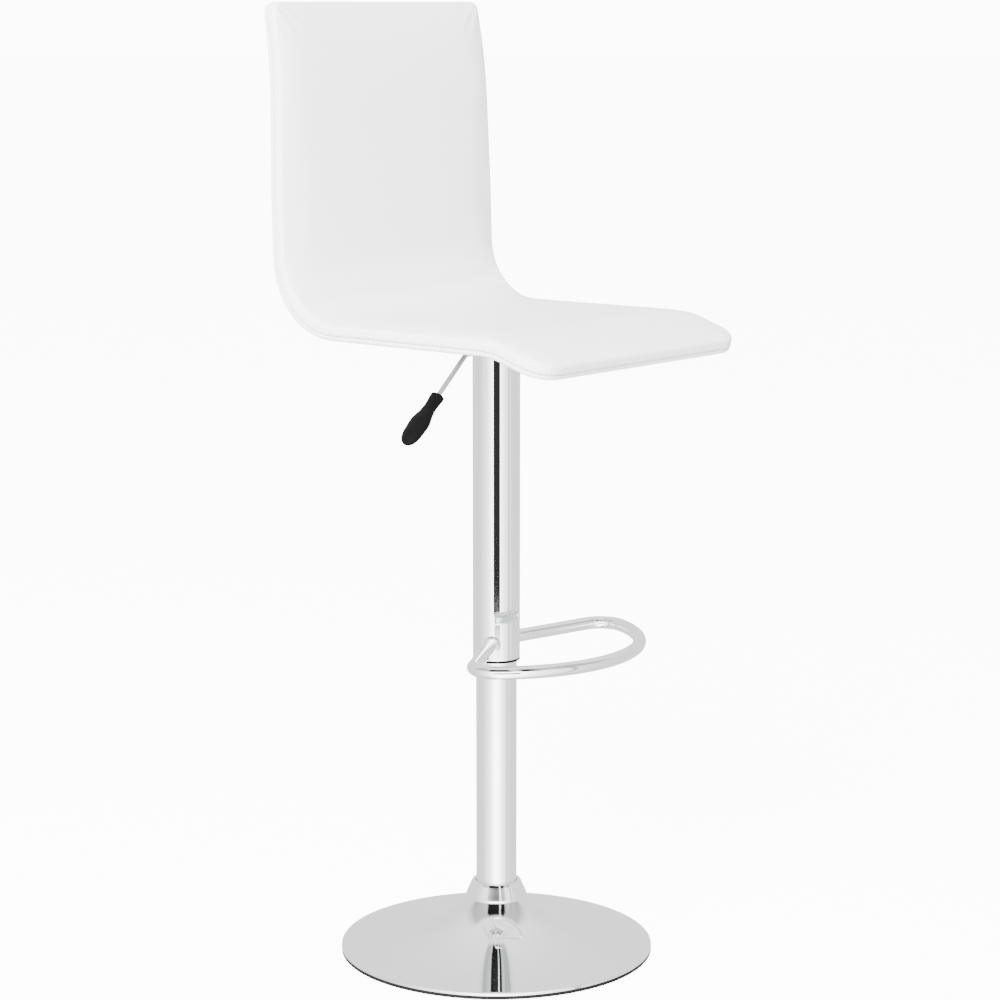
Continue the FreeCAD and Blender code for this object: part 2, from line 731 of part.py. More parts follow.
def make_lever():
    slope = math.radians(lever_drop_angle)
    down = Vector(-math.cos(slope), 0, -math.sin(slope))
    inner = Vector(lever_inner_end, 0, lever_height)
    bend = Vector(lever_bend_x, 0, lever_height)
    rod_end = bend + down * (lever_reach - grip_length + grip_rod_depth)
    edges = rounded_edges([(inner, 0), (bend, lever_bend_radius), (rod_end, 0)], closed=False)
    rod = tube_along(edges, lever_radius, inner, Vector(-1, 0, 0))
    pin_hole = Part.makeCylinder(lever_pin_diameter / 2 + running_gap, lever_diameter,
                                 Vector(lever_pivot_x, -lever_diameter / 2, lever_height),
                                 Vector(0, 1, 0))
    keep("lever_rod", solid(rod.cut(pin_hole)))

    # Grip: share of its length, width across and thickness at each section, from the rod end down.
    sections = [
        (0.00, 18.5, 15.5), (0.06, 18.0, 15.0), (0.28, 17.0, 14.0), (0.42, 22.0, 16.5),
        (0.54, 26.5, 19.5), (0.70, 26.0, 19.0), (0.86, 23.0, 17.0), (0.96, 14.5, 11.0), (1.00, 6.0, 4.5),
    ]
    grip_start = bend + down * (lever_reach - grip_length)
    thin_way = Vector(math.sin(slope), 0, -math.cos(slope))
    wires = []
    for share, width, thickness in sections:
        centre = grip_start + down * (share * grip_length)
        ellipse = Part.Ellipse(centre + Vector(0, width / 2, 0), centre + thin_way * (thickness / 2), centre)
        wires.append(Part.Wire(ellipse.toShape()))
    grip = Part.makeLoft(wires, True, False)
    keep("lever_grip", solid(grip.cut(rod)))


# ---------------------------------------------------------------- build

make_base()
make_collar()
make_lower_column()
make_rod()
make_gas_cylinder()
make_sleeve()
make_footrest()
make_mounting()
make_seat()
make_lever()

os.makedirs("parts", exist_ok=True)
for name, shape in pieces.items():
    shape.exportStep("parts/%s.step" % name)
    state = "ok" if shape.isValid() else "NOT VALID"
    print("%-16s %2d solid(s) %12.1f mm3 %s" % (name, len(shape.Solids), shape.Volume, state))
print(len(pieces), "pieces")
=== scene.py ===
# %% [markdown]
# # A gas-lift bar stool
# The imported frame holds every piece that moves, turns or carries load. This notebook adds the
# looks: a padded seat with its seam and stitches, the finish of each metal, plastic and wood, and
# the light. Every length is in metres, and every place is worked out from the frame.

# %% Load the frame
import json
import math

import bmesh
import bpy
import numpy as np
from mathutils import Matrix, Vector


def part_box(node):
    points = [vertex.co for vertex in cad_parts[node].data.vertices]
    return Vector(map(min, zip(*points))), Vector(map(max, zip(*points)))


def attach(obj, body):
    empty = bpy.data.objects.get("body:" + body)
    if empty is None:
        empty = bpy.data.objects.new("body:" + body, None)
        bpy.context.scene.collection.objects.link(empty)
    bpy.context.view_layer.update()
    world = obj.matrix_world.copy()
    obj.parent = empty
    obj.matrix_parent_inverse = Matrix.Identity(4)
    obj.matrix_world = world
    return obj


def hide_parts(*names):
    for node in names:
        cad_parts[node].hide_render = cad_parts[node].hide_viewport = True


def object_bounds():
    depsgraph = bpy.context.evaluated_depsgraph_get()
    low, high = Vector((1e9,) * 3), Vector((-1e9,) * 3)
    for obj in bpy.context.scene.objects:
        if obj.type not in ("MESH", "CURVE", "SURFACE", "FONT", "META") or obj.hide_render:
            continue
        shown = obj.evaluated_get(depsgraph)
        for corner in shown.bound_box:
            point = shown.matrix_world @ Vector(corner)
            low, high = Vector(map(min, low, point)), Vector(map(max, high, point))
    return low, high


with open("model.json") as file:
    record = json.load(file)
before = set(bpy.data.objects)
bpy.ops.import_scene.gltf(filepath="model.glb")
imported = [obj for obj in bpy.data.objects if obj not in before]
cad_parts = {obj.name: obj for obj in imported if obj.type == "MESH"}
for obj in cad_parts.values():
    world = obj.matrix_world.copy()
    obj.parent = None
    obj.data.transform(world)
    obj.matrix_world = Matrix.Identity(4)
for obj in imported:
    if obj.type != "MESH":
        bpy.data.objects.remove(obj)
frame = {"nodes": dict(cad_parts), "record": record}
cad_low, cad_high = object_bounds()
nodes = frame["nodes"]
MM = 0.001
print("CAD box:", [round(v, 4) for v in cad_low], [round(v, 4) for v in cad_high])

# %% [markdown]
# ## Camera
# The real stool is seen from over three metres with a long lens, which keeps its upright lines
# nearly parallel. A camera needs four facts: how far, how high, which way round and how far it
# tips down.

# %% Camera
CAMERA_TURN = math.radians(50.0)      # 0 looks along +Y; this looks from the lever's side
CAMERA_DIP = math.radians(10.03)
CAMERA_DISTANCE = 3.3613              # along the floor, to the column's axis
CAMERA_HEIGHT = cad_high.z - 0.0024   # level with the top of the back
LENS = 101.34


def add_camera():
    data = bpy.data.cameras.new("camera")
    data.lens = LENS
    data.sensor_width = 36.0
    data.shift_x = 0.0036
    data.clip_end = 200.0
    camera = bpy.data.objects.new("camera", data)
    bpy.context.scene.collection.objects.link(camera)
    away = Vector((math.sin(CAMERA_TURN), math.cos(CAMERA_TURN), 0.0))
    camera.location = -away * CAMERA_DISTANCE + Vector((0.0, 0.0, CAMERA_HEIGHT))
    camera.rotation_euler = (math.pi / 2 - CAMERA_DIP, 0.0, -CAMERA_TURN)
    bpy.context.scene.camera = camera
    return camera


camera = add_camera()
print("camera stands at", [round(v, 3) for v in camera.location])

# %% [markdown]
# ## A small language for shaders
# A node tree is a sum written with boxes. Wrapping one socket in a class lets Python's own + and
# * add the boxes, so a finish reads as a formula. `make` adds any other kind of node.


# %% Shader language
class Sock:
    """One shader socket that can be added, multiplied and compared."""

    def __init__(self, tree, socket):
        self.tree = tree
        self.socket = socket

    def make(self, kind, settings=None, inputs=None, out=0):
        node = self.tree.nodes.new(kind)
        for name, value in (settings or {}).items():
            setattr(node, name, value)
        for key, value in (inputs or {}).items():
            feed(self.tree, node.inputs[key], value)
        return Sock(self.tree, node.outputs[out])

    def math(self, operation, *values):
        return self.make("ShaderNodeMath", {"operation": operation}, dict(enumerate(values)))

    def __add__(self, other):
        return self.math("ADD", self, other)

    def __sub__(self, other):
        return self.math("SUBTRACT", self, other)

    def __rsub__(self, other):
        return self.math("SUBTRACT", other, self)

    def __mul__(self, other):
        return self.math("MULTIPLY", self, other)

    def __pow__(self, other):
        return self.math("POWER", self, other)

    __radd__ = __add__
    __rmul__ = __mul__

    def ramp(self, low, high):
        """0 below low, 1 above high, and a soft S between."""
        return self.make("ShaderNodeMapRange", {"interpolation_type": "SMOOTHSTEP"},
                         {0: self, 1: low, 2: high, 3: 0.0, 4: 1.0})

    def mix(self, dark, light):
        """Colour from dark at 0 to light at 1."""
        return self.make("ShaderNodeMix", {"data_type": "RGBA"},
                         {0: self, 6: rgba(dark), 7: rgba(light)}, 2)

    def scaled(self, x, y, z):
        return self.make("ShaderNodeVectorMath", {"operation": "MULTIPLY"}, {0: self, 1: (x, y, z)})

    def noise(self, scale, detail=2.0, rough=0.5):
        return self.make("ShaderNodeTexNoise", {},
                         {"Vector": self, "Scale": scale, "Detail": detail, "Roughness": rough})

    def cells(self, scale, feature="F1"):
        return self.make("ShaderNodeTexVoronoi", {"feature": feature},
                         {"Vector": self, "Scale": scale})


def feed(tree, socket, value):
    if isinstance(value, Sock):
        tree.links.new(value.socket, socket)
    else:
        socket.default_value = value


def rgba(colour):
    return colour if isinstance(colour, Sock) else (*colour, 1.0)


def finish(name, recipe, **constants):
    """A material: constants go on the shader, and the recipe returns what varies over the surface."""
    material = bpy.data.materials.new(name)
    material.use_nodes = True
    tree = material.node_tree
    shader = tree.nodes["Principled BSDF"]
    for key, value in constants.items():
        shader.inputs[key.replace("_", " ")].default_value = value
    place = Sock(tree, tree.nodes.new("ShaderNodeTexCoord").outputs["Object"])
    for key, value in recipe(place).items():
        feed(tree, shader.inputs[key], value)
    return material


def bump(height, distance, strength=1.0, under=None):
    """Normal from a height of 0 to 1 that stands for a real depth in metres."""
    inputs = {"Height": height, "Distance": distance, "Strength": strength}
    if under is not None:
        inputs["Normal"] = under
    return height.make("ShaderNodeBump", {}, inputs)


print("shader language ready")

# %% [markdown]
# ## Metals
# Chrome plate is almost a perfect mirror, so its look comes from tiny faults: a film of polish
# that makes it a little rougher in patches, and a faint waviness from the spinning and drawing of
# the steel.


# %% Chrome
def chrome_recipe(place):
    film = place.noise(9.0, 3.0)
    fine = place.noise(160.0, 2.0)
    waves = place.noise(14.0, 1.0)
    return {
        "Base Color": film.mix((0.83, 0.84, 0.85), (0.90, 0.905, 0.91)),
        "Roughness": 0.022 + film.ramp(0.45, 0.8) * 0.03 + fine * 0.012,
        "Normal": bump(waves, 0.00012, 0.25),
    }


chrome = finish("chrome_plate", chrome_recipe, Metallic=1.0)


# %% Plain steel, zinc plate and brass
def turned_metal(dark, light, rough, scratch):
    """Machined or drawn metal: fine lines one way and a mottled tint."""
    def recipe(place):
        lines = place.scaled(40.0, 40.0, 900.0).noise(1.0, 2.0)
        mottle = place.noise(35.0, 4.0)
        return {
            "Base Color": mottle.mix(dark, light),
            "Roughness": rough + lines * 0.12,
            "Normal": bump(lines, scratch),
        }
    return recipe


SCRATCH = 0.00002                     # depth of the fine lines, in metres
plain_steel = finish("plain_steel", turned_metal((0.42, 0.42, 0.43), (0.58, 0.58, 0.59), 0.28, SCRATCH),
                     Metallic=1.0)
satin_steel = finish("satin_lever_steel",
                     turned_metal((0.40, 0.40, 0.41), (0.50, 0.50, 0.51), 0.20, SCRATCH), Metallic=1.0)
brass = finish("machined_brass", turned_metal((0.62, 0.45, 0.20), (0.78, 0.60, 0.30), 0.22, SCRATCH),
               Metallic=1.0)


def zinc_recipe(place):
    spangle = place.cells(320.0)
    patch = place.noise(60.0, 3.0)
    return {
        "Base Color": patch.mix((0.55, 0.57, 0.60), (0.70, 0.71, 0.73)),
        "Roughness": 0.30 + spangle * 0.25,
        "Normal": bump(spangle, 0.00003),
    }


zinc_plate = finish("zinc_plate", zinc_recipe, Metallic=1.0)


# %% Painted and cast metal
def powder_coat(colour, spread, rough):
    """Sprayed powder melts into a skin like orange peel."""
    def recipe(place):
        peel = place.noise(420.0, 2.0)
        tint = place.noise(30.0, 3.0)
        light = tuple(min(1.0, c * (1.0 + spread)) for c in colour)
        return {
            "Base Color": tint.mix(colour, light),
            "Roughness": rough + peel * 0.15,
            "Normal": bump(peel, 0.00006),
        }
    return recipe


grey_coat = finish("grey_powder_coat", powder_coat((0.40, 0.41, 0.42), 0.12, 0.32), Metallic=0.3)
black_coat = finish("black_cylinder_coat", powder_coat((0.012, 0.012, 0.013), 0.5, 0.25))
black_oxide = finish("black_oxide_screws", powder_coat((0.03, 0.03, 0.032), 0.4, 0.35),
                     Metallic=0.8)


def cast_recipe(place):
    grit = place.noise(260.0, 5.0, 0.65)
    pits = place.cells(180.0)
    return {
        "Base Color": grit.mix((0.05, 0.05, 0.055), (0.14, 0.135, 0.13)),
        "Roughness": 0.62 + grit * 0.3,
        "Normal": bump(grit * 0.6 + pits * 0.4, 0.0004),
    }


cast_iron = finish("cast_iron", cast_recipe, Metallic=0.6)

# %% [markdown]
# ## Plastic, rubber, wood and foam
# Moulded plastic copies its tool's fine spark-eroded texture. Rubber is duller and slightly
# dusty. Plywood shows long grain on its faces; its layers run the other way by turns.


# %% Plastics and rubber
def moulded(dark, light, rough, grain, depth):
    def recipe(place):
        spark = place.noise(grain, 3.0, 0.6)
        wear = place.noise(24.0, 3.0)
        return {
            "Base Color": (spark * 0.5 + wear * 0.5).mix(dark, light),
            "Roughness": rough + wear * 0.12 - spark * 0.06,
            "Normal": bump(spark, depth),
        }
    return recipe


grip_plastic = finish("black_moulded_plastic",
                      moulded((0.0012, 0.0012, 0.0012), (0.0035, 0.0035, 0.0036), 0.55, 1500.0, 0.00008),
                      Specular_IOR_Level=0.06)
acetal = finish("white_acetal",
                moulded((0.72, 0.72, 0.70), (0.80, 0.80, 0.78), 0.38, 900.0, 0.00003))
rubber = finish("black_rubber",
                moulded((0.004, 0.004, 0.004), (0.010, 0.010, 0.010), 0.66, 700.0, 0.0001),
                Specular_IOR_Level=0.14)


# %% Plywood and foam
def ply_recipe(place):
    grain = place.scaled(260.0, 260.0, 9.0).noise(1.0, 5.0, 0.6)
    layers = (place.scaled(3.0, 1.0, 1.0).noise(4.0, 2.0)) * 0.5 + grain * 0.5
    return {
        "Base Color": layers.mix((0.48, 0.31, 0.17), (0.76, 0.59, 0.39)),
        "Roughness": 0.55 + grain * 0.25,
        "Normal": bump(grain, 0.0001),
    }


plywood = finish("birch_plywood", ply_recipe)


def foam_recipe(place):
    pores = place.cells(700.0)
    cloud = place.noise(20.0, 3.0)
    return {
        "Base Color": cloud.mix((0.78, 0.72, 0.52), (0.90, 0.86, 0.70)),
        "Roughness": 0.9 - pores * 0.1,
        "Normal": bump(pores, 0.0006),
    }


foam = finish("seat_foam", foam_recipe)

# %% [markdown]
# ## Leatherette
# White leatherette is a soft plastic skin embossed with a pebble grain about a millimetre across.
# The pebbles are cells with rounded edges; over them lie the slow creases of a skin pulled over
# foam.


# %% Leatherette and thread
def leatherette_recipe(place):
    pebbles = place.cells(850.0, "SMOOTH_F1")
    pores = place.noise(2600.0, 2.0)
    creases = place.noise(26.0, 3.0, 0.55)
    shade = place.noise(5.0, 2.0)
    grain = bump(pebbles * 0.8 + pores * 0.2, 0.00010, 0.55)
    tint = shade * 0.6 + pebbles * 0.4
    return {
        "Base Color": tint.mix((0.815, 0.815, 0.812), (0.865, 0.865, 0.862)),
        "Roughness": 0.40 + pebbles * 0.12 + shade * 0.05,
        "Normal": bump(creases, 0.0007, 0.35, grain),
    }


leatherette = finish("white_leatherette", leatherette_recipe, Specular_IOR_Level=0.45)


def thread_recipe(place):
    twist = place.noise(3200.0, 1.0)
    return {
        "Base Color": twist.mix((0.62, 0.62, 0.61), (0.82, 0.82, 0.81)),
        "Roughness": 0.55 + twist * 0.2,
        "Normal": bump(twist, 0.0001),
    }


thread = finish("white_thread", thread_recipe)
# Painted shade: dark grey for the shadow inside each needle hole, put on small balls along the stitch
# row.
needle_hole_shade = finish("needle_hole_shade",
                     moulded((0.10, 0.10, 0.10), (0.16, 0.16, 0.16), 0.8, 900.0, 0.00002))

# %% [markdown]
# ## Dress the CAD pieces
# The record already says which slot each node takes, so one table from slot to finish dresses
# them all.

# %% Dress the nodes
FINISHES = {
    "chrome": chrome, "rubber": rubber, "black_plastic": grip_plastic, "plain_steel": plain_steel,
    "grey_steel": grey_coat, "cast_iron": cast_iron, "black_steel": black_coat, "brass": brass,
    "white_plastic": acetal, "seat_leatherette": leatherette, "foam": foam, "plywood": plywood,
    "zinc_steel": zinc_plate, "screw_black": black_oxide,
}
slot_of = {entry["node"]: entry["material_slot"] for entry in frame["record"]["subparts"]}
for name, piece in nodes.items():
    piece.data.materials.clear()
    piece.data.materials.append(FINISHES[slot_of[name]])
nodes["lever_rod"].data.materials[0] = satin_steel
nodes["lever_grip"].visible_glossy = False
print("dressed", len(nodes), "CAD pieces; the black grip is kept out of the chrome's reflections")

# %% [markdown]
# ## The seat's surface as a strip
# The seat is one sheet bent twice: a long strip from the front lip to the top of the back. It is
# easier to shape a strip laid flat, with a place `s` along it, a place `x` across it and a depth
# behind its face, and to bend the finished strip into the seat. The bend is the same one that the
# plywood has.

# %% The bent strip
WATERFALL = math.radians(18.5)        # how steeply the front lip falls
LEAN = math.radians(1.5)              # the back, from upright
TOP_LEAN = math.radians(9.5)          # the back's upper part
THICK = 24.0 * MM                     # through the whole seat
SWELL = 11.4 * MM                     # padding under the seat, down to the steel plate
TAPER = 8.0 * MM                      # each side of the back comes in this much at its top
TAPER_RISE = 0.135                    # above the seat, where that starts
FALL_Y = -0.1543                      # corner where the front lip starts to fall
FALL_RADIUS = 0.123
BACK_Y = 0.1600                       # corner between the seat and the back
SEAT_RADIUS = 0.069
BEND_RISE = 0.292                     # above the seat, where the back leans further
BACK_RADIUS = 0.659
cover_low, cover_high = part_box("front_cover")
plate_low, plate_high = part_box("seat_plate")
SEAT_TOP = plate_high.z + SWELL + THICK
HALF_WIDTH = cover_high.x
taper_start = SEAT_TOP + TAPER_RISE


def strip_corners():
    """The strip's side view as straight runs: (y, z, bend radius) at each corner."""
    lip_y = cover_low.y
    bend_z = SEAT_TOP + BEND_RISE
    bend_y = BACK_Y + (bend_z - SEAT_TOP) * math.tan(LEAN)
    top_y = bend_y + (cover_high.z - bend_z) * math.tan(TOP_LEAN)
    return [
        (lip_y, SEAT_TOP - (FALL_Y - lip_y) * math.tan(WATERFALL), 0.0),
        (FALL_Y, SEAT_TOP, FALL_RADIUS),
        (BACK_Y, SEAT_TOP, SEAT_RADIUS),
        (bend_y, bend_z, BACK_RADIUS),
        (top_y, cover_high.z, 0.0),
    ]


def strip_runs():
    """Lines and arcs along the strip: (start s, y, z, heading, curvature)."""
    corners = strip_corners()
    headings = []
    for (y0, z0, _), (y1, z1, _) in zip(corners, corners[1:]):
        headings.append(math.atan2(z1 - z0, y1 - y0))
    runs = []
    s, trimmed = 0.0, 0.0
    for i, heading in enumerate(headings):
        y0, z0, _ = corners[i]
        y1, z1, radius = corners[i + 1]
        turn = headings[i + 1] - heading if i + 1 < len(headings) else 0.0
        cut = radius * math.tan(abs(turn) / 2)
        length = math.hypot(y1 - y0, z1 - z0) - trimmed - cut
        start_y = y0 + trimmed * math.cos(heading)
        start_z = z0 + trimmed * math.sin(heading)
        runs.append((s, start_y, start_z, heading, 0.0))
        s += length
        if turn:
            arc_y = start_y + length * math.cos(heading)
            arc_z = start_z + length * math.sin(heading)
            runs.append((s, arc_y, arc_z, heading, math.copysign(1 / radius, turn)))
            s += radius * abs(turn)
        trimmed = cut
    return np.array(runs), s


RUNS, STRIP_LENGTH = strip_runs()


def bend(points):
    """Strip points (x, s, depth) as points in the row frame."""
    points = np.asarray(points, float)
    x, s, depth = points[:, 0], points[:, 1], points[:, 2]
    run = RUNS[np.clip(np.searchsorted(RUNS[:, 0], s, side="right") - 1, 0, len(RUNS) - 1)]
    start, y0, z0, heading0, curve = run.T
    along = s - start
    heading = heading0 + curve * along
    safe = np.where(curve == 0, 1.0, curve)
    y = np.where(curve == 0, y0 + along * np.cos(heading0),
                 y0 + (np.sin(heading) - np.sin(heading0)) / safe)
    z = np.where(curve == 0, z0 + along * np.sin(heading0),
                 z0 - (np.cos(heading) - np.cos(heading0)) / safe)
    y = y + depth * np.sin(heading)
    z = z - depth * np.cos(heading)
    share = np.clip((z - taper_start) / (cover_high.z - taper_start), 0.0, 1.0)
    return np.column_stack([x * (1 - share * TAPER / HALF_WIDTH), y, z])


print("strip is", round(STRIP_LENGTH, 4), "m long and", round(2 * HALF_WIDTH, 4), "m wide")

# %% [markdown]
# ## A cushion made of rings
# A padded panel is drawn as rings round the strip's outline: each has an inset from the edge and
# a depth. The rings run from the sewn edge, up the rounded side and onto the face, and a plain
# grid fills the middle. Quads that follow the edge take a soft rounding far better than a
# remeshed block does.

# %% Rings and grids
FRONT_CORNER = 35.0 * MM
TOP_CORNER = 12.0 * MM
ACROSS = 46                           # grid cells across the strip and along it
ALONG = 92
ROUND = 6                             # cells round each corner
WELD = 0.00001                        # points closer than this become one


def ring_points(inset, depth):
    """One closed ring of strip points, anticlockwise from the front left corner."""
    half, low, high = HALF_WIDTH - inset, inset, STRIP_LENGTH - inset
    corners = [
        (-half, low, 1, 1, FRONT_CORNER, 180), (half, low, -1, 1, FRONT_CORNER, 270),
        (half, high, -1, -1, TOP_CORNER, 0), (-half, high, 1, -1, TOP_CORNER, 90),
    ]
    arcs = []
    for cx, cs, way_x, way_s, radius, angle in corners:
        r = max(radius - inset, 0.0)
        steps = np.radians(angle + np.linspace(0, 90, ROUND + 1))
        arcs.append(np.column_stack([cx + way_x * r + r * np.cos(steps),
                                     cs + way_s * r + r * np.sin(steps)]))
    loop = []
    for i, cells in enumerate((ACROSS, ALONG, ACROSS, ALONG)):
        following = arcs[(i + 1) % 4]
        share = np.linspace(0, 1, cells + 1)[1:-1, None]
        loop += [arcs[i], arcs[i][-1] * (1 - share) + following[0] * share]
    flat = np.vstack(loop)
    return np.column_stack([flat, np.full(len(flat), depth)])


def grid_points(inset, depth):
    """The grid inside the last ring."""
    xs = np.linspace(-HALF_WIDTH + inset, HALF_WIDTH - inset, ACROSS + 1)
    ss = np.linspace(inset, STRIP_LENGTH - inset, ALONG + 1)
    gx, gs = np.meshgrid(xs, ss)
    return np.column_stack([gx.ravel(), gs.ravel(), np.full(gx.size, depth)])


def grid_faces(offset, flip):
    row = ACROSS + 1
    faces = []
    for j in range(ALONG):
        for i in range(ACROSS):
            a = offset + j * row + i
            quad = (a, a + 1, a + row + 1, a + row)
            faces.append(quad[::-1] if flip else quad)
    return faces


def panel(name, profile, shape=None):
    """A closed padded panel through (inset, depth) rings; shape may push strip points about."""
    rings = [ring_points(inset, depth) for inset, depth in profile]
    count = len(rings[0])
    points = [grid_points(*profile[0])] + rings + [grid_points(*profile[-1])]
    first = len(points[0])
    faces = grid_faces(0, True)
    for k in range(len(rings) - 1):
        for i in range(count):
            a = first + k * count + i
            b = first + k * count + (i + 1) % count
            faces.append((a, b, b + count, a + count))
    faces += grid_faces(first + len(rings) * count, False)
    flat = np.vstack(points)
    if shape is not None:
        flat = shape(flat)
    mesh = bpy.data.meshes.new(name)
    mesh.from_pydata(bend(flat).tolist(), [], faces)
    work = bmesh.new()
    work.from_mesh(mesh)
    depths = work.verts.layers.float.new("depth")
    work.verts.ensure_lookup_table()
    for vert, place in zip(work.verts, flat):
        vert[depths] = place[2]
    bmesh.ops.remove_doubles(work, verts=work.verts, dist=WELD)
    bmesh.ops.recalc_face_normals(work, faces=work.faces)
    work.to_mesh(mesh)
    work.free()
    for polygon in mesh.polygons:
        polygon.use_smooth = True
    piece = bpy.data.objects.new(name, mesh)
    bpy.context.scene.collection.objects.link(piece)
    print(name, "has", len(mesh.vertices), "points and", len(mesh.polygons), "faces")
    return piece


def rounded(width, depth, start, steps):
    """Ring profile of a quarter-round edge: from the side at `start` depth to the face."""
    angles = [math.radians(90 * (i + 1) / steps) for i in range(steps)]
    return [(width * (1 - math.cos(a)), start + depth * (1 - math.sin(a)) - depth) for a in angles]


# %% [markdown]
# ## The front panel
# Foam under a skin that is sewn down round its edge: tight at the seam, rounded over the side,
# full in the middle. The swelling is a cloth simulation. The skin starts a little small, is held
# at its sewn edge and is blown up from inside, and how far each point may move is capped, as foam
# caps it.

# %% Shape the front panel
SEAM = 17.8 * MM                      # depth of the seam between the two covers
SUNK = 1.2 * MM                       # the skin starts this far under its final face
SWELL_CAP = 2.6 * MM
FREE_DEPTH = 3.5 * MM                 # below SUNK; skin deeper than this is held
EDGE_IN, FACE_IN = 8.5, 36.0          # the shoulder runs between these insets, in mm


def front_profile():
    back = [(36 * MM, SEAM), (18 * MM, SEAM), (7 * MM, SEAM)]
    seam = [(2.0 * MM, SEAM - 0.1 * MM), (1.0 * MM, SEAM - 0.3 * MM), (0.3 * MM, SEAM - 1.0 * MM),
            (0.0, SEAM - 2.2 * MM), (0.0, SEAM - 4.2 * MM)]
    shoulder = 1.6 * MM
    edge = rounded(EDGE_IN * MM, 7.5 * MM, SUNK + shoulder + 7.5 * MM, 7)
    slope = [(inset * MM, SUNK + shoulder * (1 - (inset - EDGE_IN) / (FACE_IN - EDGE_IN)) ** 2)
             for inset in (12, 17, 23, 29, 36)]
    return back + seam + edge + slope


front_panel = panel("front_panel", front_profile())


# %% Blow it up as cloth
PRESSURE = 4.0
LAST_STEP = 20                        # the skin has settled by then


def swell(piece, cap, free_above):
    """Cloth under pressure, held where it is deeper than free_above; nothing moves past the cap."""
    mesh = piece.data
    depth = np.zeros(len(mesh.vertices))
    mesh.attributes["depth"].data.foreach_get("value", depth)
    held = piece.vertex_groups.new(name="held")
    held.add([int(i) for i in np.nonzero(depth > free_above)[0]], 1.0, "REPLACE")
    start = np.zeros(len(mesh.vertices) * 3)
    mesh.vertices.foreach_get("co", start)
    cloth = piece.modifiers.new("cloth", "CLOTH")
    settings = cloth.settings
    settings.use_pressure = True
    settings.uniform_pressure_force = PRESSURE
    settings.vertex_group_mass = "held"
    settings.effector_weights.gravity = 0.0
    settings.quality = 5
    cloth.collision_settings.use_collision = False
    scene = bpy.context.scene
    for step in range(1, LAST_STEP + 1):
        scene.frame_set(step)
    moved = np.zeros(len(start))
    result = piece.evaluated_get(bpy.context.evaluated_depsgraph_get())
    result.data.vertices.foreach_get("co", moved)
    piece.modifiers.remove(cloth)
    scene.frame_set(1)
    shift = (moved - start).reshape(-1, 3)
    size = np.linalg.norm(shift, axis=1, keepdims=True)
    capped = shift * (cap * np.tanh(size / cap) / np.maximum(size, 1e-9))
    mesh.vertices.foreach_set("co", (start.reshape(-1, 3) + capped).ravel())
    mesh.update()
    piece.vertex_groups.clear()
    most = round(float(size.max()) * 1000, 2)
    print(piece.name, "swelled by up to", most, "mm, capped at", cap * 1000)


swell(front_panel, SWELL_CAP, SUNK + FREE_DEPTH)


def soften(piece):
    subdivision = piece.modifiers.new("soften", "SUBSURF")
    subdivision.levels = 1
    subdivision.render_levels = 1
    piece.data.materials.append(leatherette)


soften(front_panel)
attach(front_panel, "lift")
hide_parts("front_cover", "seat_foam")

# %% [markdown]
# ## The rear panel
# The second skin covers the back of the plywood and the underside of the seat. It is plain and
# taut, except where it swells down over the mounting board. That swelling is a smooth mound, with
# its flat bottom on the steel plate.

# %% Shape the rear panel
MOUND_FORWARD = 18.65 * MM            # its middle is this far in front of the plate's
MOUND_FLAT = (102.5 * MM, 90.0 * MM)  # half the flat bottom, across and along
MOUND_FADE = (62.5 * MM, 23.0 * MM)   # how far it takes to fade out
mound_y = (plate_low.y + plate_high.y) / 2 - MOUND_FORWARD


def mound(flat):
    """Push the rear face down over the mounting board."""
    place = bend(np.column_stack([flat[:, 0], flat[:, 1], np.zeros(len(flat))]))
    out_x = (np.abs(place[:, 0]) - MOUND_FLAT[0]) / MOUND_FADE[0]
    out_y = (np.abs(place[:, 1] - mound_y) - MOUND_FLAT[1]) / MOUND_FADE[1]
    far = np.clip(np.hypot(np.maximum(out_x, 0), np.maximum(out_y, 0)), 0, 1)
    under_seat = place[:, 2] < SEAT_TOP + 1.0 * MM
    rear = flat[:, 2] > THICK - 0.5 * MM
    lift = SWELL * (1 - far * far * (3 - 2 * far)) * under_seat * rear
    return flat + np.column_stack([np.zeros(len(flat)), np.zeros(len(flat)), lift])


def rear_profile():
    seam_side = SEAM + 0.2 * MM
    front = [(36 * MM, seam_side), (18 * MM, seam_side), (7 * MM, seam_side)]
    seam = [(2.0 * MM, seam_side + 0.1 * MM), (1.0 * MM, seam_side + 0.2 * MM),
            (0.3 * MM, seam_side + 0.7 * MM), (0.0, seam_side + 1.4 * MM)]
    edge = [(4.0 * MM * (1 - math.cos(a)), THICK - 4.2 * MM * (1 - math.sin(a)))
            for a in (math.radians(18 * i) for i in range(1, 6))]
    face = [(8 * MM, THICK), (14 * MM, THICK), (24 * MM, THICK), (36 * MM, THICK)]
    return front + seam + edge + face


rear_panel = panel("rear_panel", rear_profile(), mound)
soften(rear_panel)
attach(rear_panel, "lift")
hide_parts("rear_cover", "underside_pad")

# %% [markdown]
# ## Stitches
# A row of top-stitching follows the whole edge, a few millimetres in front of the seam. Geometry
# Nodes suit it well: one curve, cut into equal steps, a short thread laid at each step and a dark
# ball of painted shade at its ends for each needle hole's shadow. Change the pitch and the whole row
# follows.

# %% Stitch row with Geometry Nodes
STITCH_DEPTH = SEAM - 2.2 * MM
PITCH = 7.0 * MM
STITCH_LENGTH = 5.0 * MM


def row_curve(name, inset, depth):
    """Closed curve that follows the edge at one inset and depth."""
    places = bend(ring_points(inset, depth))
    curve = bpy.data.curves.new(name, "CURVE")
    curve.dimensions = "3D"
    spline = curve.splines.new("POLY")
    spline.points.add(len(places) - 1)
    spline.points.foreach_set("co", np.column_stack([places, np.ones(len(places))]).ravel())
    spline.use_cyclic_u = True
    piece = bpy.data.objects.new(name, curve)
    bpy.context.scene.collection.objects.link(piece)
    return piece


